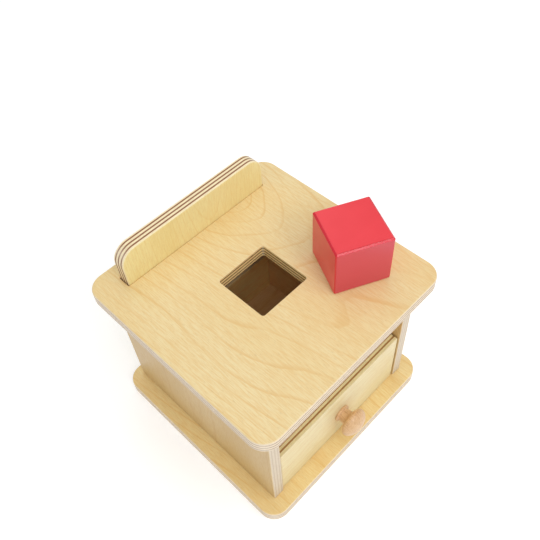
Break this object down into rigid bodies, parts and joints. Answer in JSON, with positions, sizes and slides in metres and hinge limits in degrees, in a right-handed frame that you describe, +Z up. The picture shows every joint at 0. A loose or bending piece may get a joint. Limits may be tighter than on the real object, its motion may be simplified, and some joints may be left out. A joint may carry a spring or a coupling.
{
  "type": "object permanence box",
  "caption": "Plywood box with overhanging round-cornered plates, a square hole in the top with a rail behind it, a knobbed drawer below and a loose red cube.",
  "frame": {"origin": "middle of the base plate's flat underside, straight below the middle of the square hole", "axes": "+Z up through the hole, +Y to the back where the rail stands, so the drawer opens along -Y, +X to the right seen from the drawer"},
  "size_m": [0.15, 0.155, 0.154],
  "materials": {
    "plate_plywood": "clear satin lacquer on birch plywood",
    "wall_plywood": "clear satin lacquer on birch plywood",
    "panel_plywood": "clear satin lacquer on birch plywood",
    "drawer_plywood": "clear satin lacquer on birch plywood",
    "thin_plywood": "sealed thin birch plywood",
    "beech": "turned beech, clear lacquer",
    "steel": "zinc plated steel",
    "red_lacquer": "red gloss lacquer on solid beech"
  },
  "bodies": {
    "box": {"base_plate": "plate_plywood", "left_wall": "wall_plywood", "right_wall": "wall_plywood", "back_wall": "panel_plywood", "front_panel": "panel_plywood", "top_plate": "plate_plywood", "base_screws": "steel", "back_wall_dowels": "beech", "front_panel_dowels": "beech", "top_dowels": "beech"},
    "drawer": {"drawer_front": "drawer_plywood", "drawer_left_side": "thin_plywood", "drawer_right_side": "thin_plywood", "drawer_back": "thin_plywood", "drawer_bottom": "thin_plywood", "drawer_pins": "steel", "drawer_knob": "beech", "knob_screw": "steel"},
    "cube": {"red_cube": "red_lacquer"}
  },
  "joints": [
    {"name": "drawer_slide", "type": "slide", "parent": "box", "child": "drawer", "axis": [0, -1, 0], "range_m": [0, 0.1]},
    {"name": "cube_lift", "type": "slide", "parent": "box", "child": "cube", "axis": [0, 0, 1], "range_m": [0, 0.12]}
  ]
}
